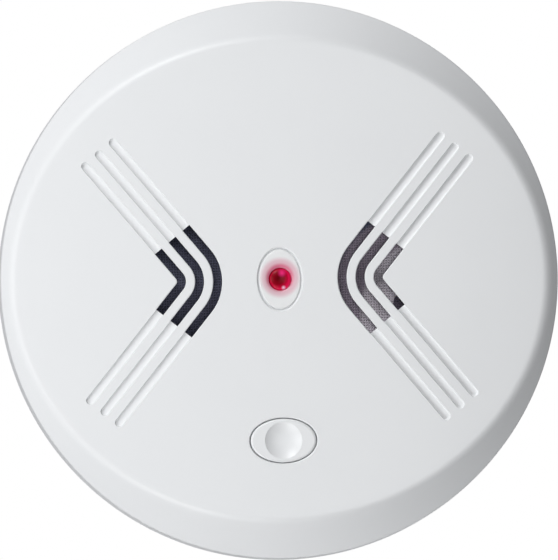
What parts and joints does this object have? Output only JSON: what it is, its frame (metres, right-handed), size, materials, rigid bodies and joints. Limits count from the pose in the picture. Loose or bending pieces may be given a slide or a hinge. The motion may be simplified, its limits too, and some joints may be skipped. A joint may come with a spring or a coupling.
{
  "type": "smoke detector",
  "caption": "Round battery smoke detector with chevron smoke slots, status light and press-to-test button, on a twist-off ceiling mounting plate.",
  "frame": {"origin": "middle of the mounting face, on the ceiling side of the mounting plate", "axes": "+Z out of the ceiling through the front face, -Y from the middle towards the test button, +X to the right when looking at the front with the test button below"},
  "size_m": [0.12, 0.12, 0.04],
  "materials": {
    "cover_white": "satin",
    "housing_white": "satin",
    "plate_white": "matte",
    "button_white": "satin",
    "bezel_white": "satin",
    "lens_red": "gloss",
    "screen_black": "matte",
    "screen_steel": "satin",
    "spring_steel": "satin",
    "guide_grey": "matte",
    "switch_black": "matte",
    "plunger_white": "satin",
    "nylon": "satin",
    "tinned_wire": "satin",
    "board_green": "satin",
    "screw_zinc": "satin",
    "chamber_black": "matte",
    "emitter_clear": "gloss",
    "detector_dark": "gloss",
    "sounder_grey": "matte",
    "brass": "satin",
    "ceramic": "matte",
    "contact_gold": "satin",
    "battery_jacket": "satin",
    "terminal_nickel": "satin",
    "lead_red": "satin",
    "lead_black": "satin",
    "chip_black": "matte",
    "can_sleeve": "satin",
    "lens_tan": "satin",
    "resistor_beige": "satin",
    "ferrite": "matte",
    "copper": "satin"
  },
  "bodies": {
    "mount": {"mounting_plate": "plate_white"},
    "detector": {"rear_housing": "housing_white", "front_cover": "cover_white", "led_bezel": "bezel_white", "status_led": "lens_red", "led_leads": "tinned_wire", "led_spacer": "nylon", "left_slot_screen": "screen_black", "right_slot_screen": "screen_black", "button_spring": "spring_steel", "button_guide": "guide_grey", "switch_body": "switch_black", "circuit_board": "board_green", "board_screws": "screw_zinc", "case_screws": "screw_zinc", "chamber_base": "chamber_black", "chamber_cap": "chamber_black", "chamber_screen": "screen_steel", "infrared_emitter": "emitter_clear", "photodiode": "detector_dark", "sounder_base": "sounder_grey", "sounder_cap": "sounder_grey", "brass_disc": "brass", "ceramic_disc": "ceramic", "sounder_contacts": "contact_gold", "battery": "battery_jacket", "battery_terminals": "terminal_nickel", "battery_contacts": "tinned_wire", "red_lead": "lead_red", "black_lead": "lead_black", "main_chip": "chip_black", "chip_pins": "tinned_wire", "electrolytic_capacitors": "can_sleeve", "ceramic_capacitors": "lens_tan", "transistors": "chip_black", "resistors": "resistor_beige", "resistor_leads": "tinned_wire", "coil_core": "ferrite", "coil_winding": "copper"},
    "button": {"test_button": "button_white"},
    "plunger": {"switch_plunger": "plunger_white"}
  },
  "joints": [
    {"name": "twist_lock", "type": "hinge", "parent": "mount", "child": "detector", "pos_m": [0, 0, 0], "axis": [0, 0, 1], "range_deg": [0, 15]},
    {"name": "test_press", "type": "slide", "parent": "detector", "child": "button", "axis": [0, 0, -1], "range_m": [0, 0.001], "stiffness_N_per_m": 400, "springref_m": -0.002, "deforming": ["button_spring"]},
    {"name": "switch_press", "type": "slide", "parent": "detector", "child": "plunger", "axis": [0, 0, -1], "range_m": [0, 0.001]}
  ],
  "couplings": [
    {"joint": "switch_press", "follows": "test_press", "ratio": 1}
  ]
}
